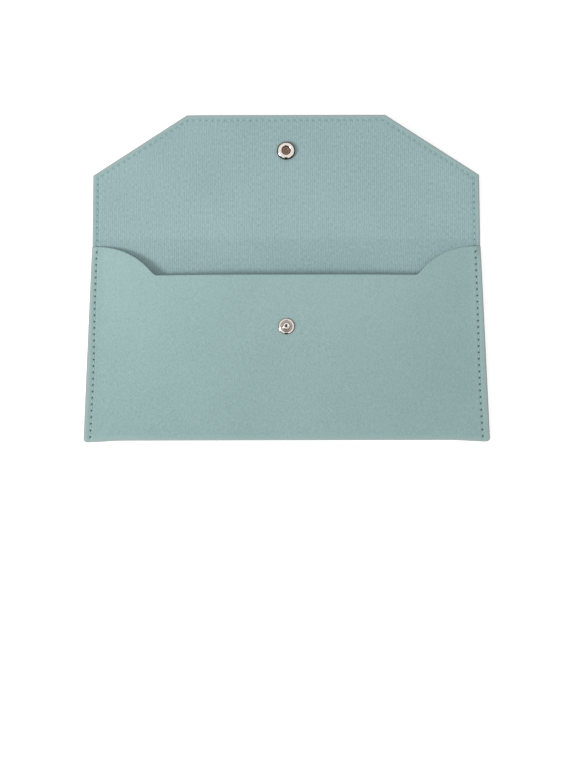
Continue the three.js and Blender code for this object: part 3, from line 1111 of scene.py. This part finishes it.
def new_group(name):
    """A shared effect that takes a place and the size of its marks, and gives one value."""
    tree = bpy.data.node_groups.new(name, "ShaderNodeTree")
    tree.interface.new_socket(name="Place", in_out="INPUT", socket_type="NodeSocketVector")
    tree.interface.new_socket(name="Size", in_out="INPUT", socket_type="NodeSocketFloat")
    tree.interface.new_socket(name="Value", in_out="OUTPUT", socket_type="NodeSocketFloat")
    given = tree.nodes.new("NodeGroupInput").outputs
    scale = math_node(tree, "DIVIDE", 1.0, given["Size"])
    return tree, given["Place"], scale, tree.nodes.new("NodeGroupOutput").inputs["Value"]


def add_group(tree, group, place, size):
    values = {"Place": place, "Size": size * MM}
    return add_node(tree, "ShaderNodeGroup", values, node_tree=group).outputs["Value"]


def fine_grain_group():
    """Very small pebbles, a little longer than wide, as on smooth finished leather."""
    tree, place, scale, result = new_group("fine leather grain")
    place = stretched(tree, place, PEBBLE_SHAPE)
    specks = noise(tree, place, scale)
    pore_scale = math_node(tree, "MULTIPLY", scale, PORES_PER_PEBBLE)
    pores = add_node(tree, "ShaderNodeTexVoronoi", {"Vector": place, "Scale": pore_scale}, feature="F1")
    pore = scaled(tree, pores.outputs["Distance"], strength=-0.35, shift=0.17)
    tree.links.new(math_node(tree, "ADD", specks, pore), result)
    return tree


def rib_group():
    """Fine upright ribs of even spacing, broken up by short specks."""
    tree, place, scale, result = new_group("upright ribs")
    sway_scale = math_node(tree, "MULTIPLY", scale, SWAY_PER_RIB)
    sway = noise(tree, stretched(tree, place, SWAY_SHAPE), sway_scale)
    across = add_node(tree, "ShaderNodeSeparateXYZ", {0: place}).outputs[0]
    turns = math_node(tree, "MULTIPLY", across, math_node(tree, "MULTIPLY", scale, 2 * math.pi))
    turns = scaled(tree, sway, RIB_SWAY, turns)
    rib = scaled(tree, math_node(tree, "SINE", turns), RIB_STRENGTH, shift=0.05)
    speck_scale = math_node(tree, "MULTIPLY", scale, SPECKS_PER_RIB)
    specks = noise(tree, stretched(tree, place, SPECK_SHAPE), speck_scale)
    tree.links.new(scaled(tree, specks, SPECK_STRENGTH, rib), result)
    return tree


def cloud_group(name, detail, roughness):
    """Soft clouds of tone, as of dye that took unevenly or of smears on handled metal."""
    tree, place, scale, result = new_group(name)
    tree.links.new(noise(tree, place, scale, detail, roughness), result)
    return tree


def new_material(name):
    material = bpy.data.materials.new(name)
    material.use_nodes = True
    tree = material.node_tree
    return material, tree, tree.nodes["Principled BSDF"]


def add_bump(tree, shader, height, strength, depth):
    values = {"Height": height, "Strength": strength, "Distance": depth * MM}
    tree.links.new(add_node(tree, "ShaderNodeBump", values).outputs[0], shader.inputs["Normal"])


def rest_place(tree):
    return add_node(tree, "ShaderNodeAttribute", attribute_name="rest_place").outputs["Vector"]


def shift_over(tree, value, ends, shifts):
    """Runs softly from one tone shift to another as a value goes over the ends, in metres."""
    limits = {"Value": value, "From Min": ends[0], "From Max": ends[1]}
    limits |= {"To Min": shifts[0], "To Max": shifts[1]}
    return add_node(tree, "ShaderNodeMapRange", limits, interpolation_type="SMOOTHSTEP").outputs[0]


def painted_light_shift(tree, place, ribs):
    """Painted light: the tone is palest around the fold and darker towards the ends. On the lining, painted
    shade makes it a little darker inside the pocket's mouth, up to just past the crease, and a little paler
    above.
    """
    up = add_node(tree, "ShaderNodeSeparateXYZ", {0: place}).outputs[1]
    from_fold = math_node(tree, "ABSOLUTE", math_node(tree, "SUBTRACT", up, body_crease.y * MM))
    strength = LINING_LIGHT_POOL if ribs else LEATHER_LIGHT_POOL
    shift = shift_over(tree, from_fold, (0.0, LIGHT_POOL_REACH * MM), (strength, -strength))
    if ribs:
        ends = [(body_crease.y + end) * MM for end in MOUTH_SHADE_ENDS]
        shift = math_node(tree, "ADD", shift, shift_over(tree, up, ends, MOUTH_SHADE))
    return shift


def marked(tree, name, strength):
    mark = add_node(tree, "ShaderNodeAttribute", attribute_name=name).outputs["Fac"]
    return math_node(tree, "MINIMUM", math_node(tree, "MULTIPLY", mark, strength), 1.0)


def sheet_material(name, tones, hole_shade_tone, roughness, groups, ribs=False):
    """Dyed leather: broad mottling and fine grain or ribs, painted shade in the needle holes, pale at the
    rim, and painted light palest round the fold.
    """
    material, tree, shader = new_material(name)
    place = rest_place(tree)
    mottle = add_group(tree, groups["mottle"], place, DYE_PATCH)
    grain = add_group(tree, groups["grain"], place, PEBBLE)
    texture = add_group(tree, groups["ribs"], place, RIB_SPACING) if ribs else grain
    share = math_node(tree, "ADD", swing(tree, mottle, DYE_SWING), texture)
    # Adds the painted light round the fold and the painted shade inside the mouth
    share = math_node(tree, "ADD", share, painted_light_shift(tree, place, ribs))
    shown = mix_tones(tree, share, tones)
    # The needle-hole tone is painted shade
    for mark, strength, tone in (
        ("pressed_band", BAND_STRENGTH, BAND_TONE),
        ("worn_rim", RIM_STRENGTH, RIM_TONE),
        ("needle_hole_shade", HOLE_SHADE_STRENGTH, hole_shade_tone),
    ):
        shown = mix_colours(tree, marked(tree, mark, strength), shown, colour(tone))
    rough = swing(tree, grain, strength=0.2, middle=roughness)
    set_inputs(tree, shader, {"Base Color": shown, "Roughness": rough, "Specular IOR Level": SHEEN})
    add_bump(tree, shader, texture, strength=0.4, depth=0.2)
    return material


def cut_edge_material(groups):
    """The raw edge, where the paler core of the leather shows through the dye."""
    material, tree, shader = new_material("cut leather edge")
    grain = add_group(tree, groups["grain"], rest_place(tree), EDGE_PEBBLE)
    set_inputs(tree, shader, {"Base Color": mix_tones(tree, grain, EDGE_TONES), "Roughness": 0.8})
    add_bump(tree, shader, grain, strength=0.6, depth=0.06)
    return material


def thread_material(groups):
    """Bonded thread, whose twisted strands run aslant."""
    material, tree, shader = new_material("sewing thread")
    place = add_node(tree, "ShaderNodeTexCoord").outputs["Object"]
    mottle = add_group(tree, groups["mottle"], place, THREAD_PATCH)
    wave = {"Vector": place, "Scale": STRANDS_PER_METRE, "Distortion": 0.6}
    strands = add_node(tree, "ShaderNodeTexWave", wave, bands_direction="DIAGONAL").outputs["Fac"]
    share = scaled(tree, mottle, strength=0.6, shift=math_node(tree, "MULTIPLY", strands, 0.3))
    set_inputs(tree, shader, {"Base Color": mix_tones(tree, share, THREAD_TONES), "Roughness": 0.6})
    add_bump(tree, shader, strands, strength=0.5, depth=0.05)
    return material


def metal_material(name, tones, roughness, groups):
    """Plated metal, bright where it is handled, with painted shade darkening its recesses and its foot
    against the leather.
    """
    material, tree, shader = new_material(name)
    place = add_node(tree, "ShaderNodeTexCoord").outputs["Object"]
    painted_recess_shade = add_node(tree, "ShaderNodeAttribute", attribute_name="painted_recess_shade").outputs["Fac"]
    marks = add_group(tree, groups["scuffs"], place, SCUFF)
    # Painted shade from the recess mark, plus darker handling marks
    shade_and_scuffs = math_node(tree, "ADD", painted_recess_shade, swing(tree, marks, strength=0.4))
    shade_and_scuffs = math_node(tree, "MAXIMUM", shade_and_scuffs, 0.0)
    shown = mix_tones(tree, shade_and_scuffs, tones)
    rough = swing(tree, marks, strength=0.1, middle=roughness)
    rough = scaled(tree, painted_recess_shade, strength=0.15, shift=rough)
    set_inputs(tree, shader, {"Base Color": shown, "Metallic": 1.0, "Roughness": rough})
    add_bump(tree, shader, marks, strength=0.08, depth=0.05)
    return material


def make_materials():
    groups = {
        "grain": fine_grain_group(),
        "ribs": rib_group(),
        "mottle": cloud_group("uneven dye", detail=4.0, roughness=0.55),
        "scuffs": cloud_group("handling marks", detail=5.0, roughness=0.5),
    }
    return {
        "leather": sheet_material("sage leather", LEATHER_TONES, LEATHER_HOLE_SHADE, LEATHER_ROUGHNESS, groups),
        "lining": sheet_material(
            "ribbed lining", LINING_TONES, LINING_HOLE_SHADE, LINING_ROUGHNESS, groups, ribs=True
        ),
        "edge": cut_edge_material(groups),
        "thread": thread_material(groups),
        "nickel": metal_material("polished nickel", NICKEL_AND_SHADE_TONES, NICKEL_ROUGHNESS, groups),
        # The rivet tube sits in the socket's bore, so its darker tone paints that bore's shade
        "rivet": metal_material("rivet nickel with painted bore shade", RIVET_AND_SHADE_TONES, RIVET_ROUGHNESS, groups),
        "steel": metal_material("spring steel", STEEL_TONES, STEEL_ROUGHNESS, groups),
    }


# Stage


def seen_directly(tree):
    """One for what the camera, a mirror or glass shows, and zero for what only sheds light."""
    paths = add_node(tree, "ShaderNodeLightPath").outputs
    seen = math_node(tree, "MAXIMUM", paths["Is Camera Ray"], paths["Is Glossy Ray"])
    return math_node(tree, "MAXIMUM", seen, paths["Is Transmission Ray"])


def build_floor():
    bpy.ops.mesh.primitive_plane_add(size=FLOOR_SIZE, location=(0, 0, 0))
    floor = bpy.context.object
    floor.name = "floor"
    material, tree, shader = new_material("white floor")
    tree.nodes.remove(shader)
    matt = add_node(tree, "ShaderNodeBsdfDiffuse", {"Color": (FLOOR_GREY, FLOOR_GREY, FLOOR_GREY, 1.0)})
    strength = math_node(tree, "MULTIPLY", seen_directly(tree), FLOOR_GLOW)
    glow = add_node(tree, "ShaderNodeEmission", {"Color": (1, 1, 1, 1), "Strength": strength})
    both = add_node(tree, "ShaderNodeAddShader", {0: matt.outputs[0], 1: glow.outputs[0]})
    tree.links.new(both.outputs[0], tree.nodes["Material Output"].inputs["Surface"])
    floor.data.materials.append(material)


def build_world():
    world = bpy.data.worlds.new("studio")
    bpy.context.scene.world = world
    world.use_nodes = True
    tree = world.node_tree
    values = {"Value": seen_directly(tree), "To Min": SKY_STRENGTH, "To Max": 1.0}
    strength = add_node(tree, "ShaderNodeMapRange", values).outputs[0]
    set_inputs(tree, tree.nodes["Background"], {"Color": (1.0, 1.0, 1.0, 1.0), "Strength": strength})


def add_dark_card(name, distance, direction, width, height):
    """A black studio card that only the metal's reflections show."""
    bpy.ops.mesh.primitive_plane_add(size=1.0, location=(0, 0, 0))
    card = bpy.context.object
    card.name = name
    turn = Matrix.Rotation(math.radians(direction), 4, "Z")
    upright = Matrix.Rotation(math.pi / 2, 4, "X") @ Matrix.Diagonal((width, height, 1.0, 1.0))
    card.data.transform(turn @ Matrix.Translation((0, -distance, height / 2)) @ upright)
    material, tree, shader = new_material("black card")
    set_inputs(tree, shader, {"Base Color": (0.01, 0.01, 0.01, 1.0), "Specular IOR Level": 0.0})
    card.data.materials.append(material)
    card.visible_camera = False
    card.visible_diffuse = False
    card.visible_transmission = False
    card.visible_shadow = False


def build_dark_cards():
    for number in range(CARDS):
        height = FRONT_CARD if number in FRONT_CARDS else LOW_CARD
        add_dark_card(f"low_card_{number + 1}", CARD_DISTANCE, number * 360.0 / CARDS, CARD_WIDTH, height)
    add_dark_card("tall_card", *TALL_CARD)


def build_lamp():
    data = bpy.data.lights.new("window_light", "AREA")
    data.size = LAMP_SIZE
    data.energy = LAMP_POWER
    lamp = bpy.data.objects.new("window_light", data)
    bpy.context.scene.collection.objects.link(lamp)
    lamp.location = LAMP_PLACE
    lamp.rotation_euler = (-Vector(LAMP_PLACE)).to_track_quat("-Z", "Y").to_euler()


def build_camera():
    data = bpy.data.cameras.new("camera")
    data.lens = LENS
    data.sensor_width = SENSOR
    camera = bpy.data.objects.new("camera", data)
    bpy.context.scene.collection.objects.link(camera)
    bpy.context.scene.camera = camera
    tilt = math.radians(CAMERA_TILT)
    roll = math.radians(CAMERA_ROLL)
    target = Vector((AIM_SIDEWAYS, bottom_edge + AIM_HEIGHT, AIM_LIFT)) * MM
    camera.location = target + CAMERA_DISTANCE * Vector((0, -math.sin(tilt), math.cos(tilt)))
    camera.rotation_euler = (Matrix.Rotation(tilt, 3, "X") @ Matrix.Rotation(roll, 3, "Z")).to_euler()


def build_wallet(materials):
    leather = (materials["leather"], materials["edge"])
    lining = (materials["lining"], materials["edge"])
    thread = materials["thread"]
    leather_blank(leather)
    back_lining(lining)
    front_lining(lining)

    for number in (1, 2):
        outer = fold_sheet("fold_leather", number, False, leather)
        inner = fold_sheet("fold_lining", number, True, lining)
        stitches = fold_stitches(number, thread)
        for piece in (outer, inner, stitches):
            blend_over_crease(piece)
        if number == 1:
            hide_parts("fold_strip")

    flap_sheet("flap_leather", "flap_panel", False, leather)
    flap_sheet("flap_lining_sheet", "flap_lining", True, lining)
    front_stitches(thread)
    back_stitches(thread)
    flap_stitches("flap_stitches", "flap_thread", HIGH_THREAD, thread)
    flap_stitches("flap_under_stitches", "flap_bobbin_thread", LOW_THREAD, thread)
    build_snap(materials["nickel"], materials["rivet"], materials["steel"])


build_wallet(make_materials())
build_floor()
build_world()
build_lamp()
build_dark_cards()
build_camera()
bpy.context.scene.view_settings.view_transform = "Standard"
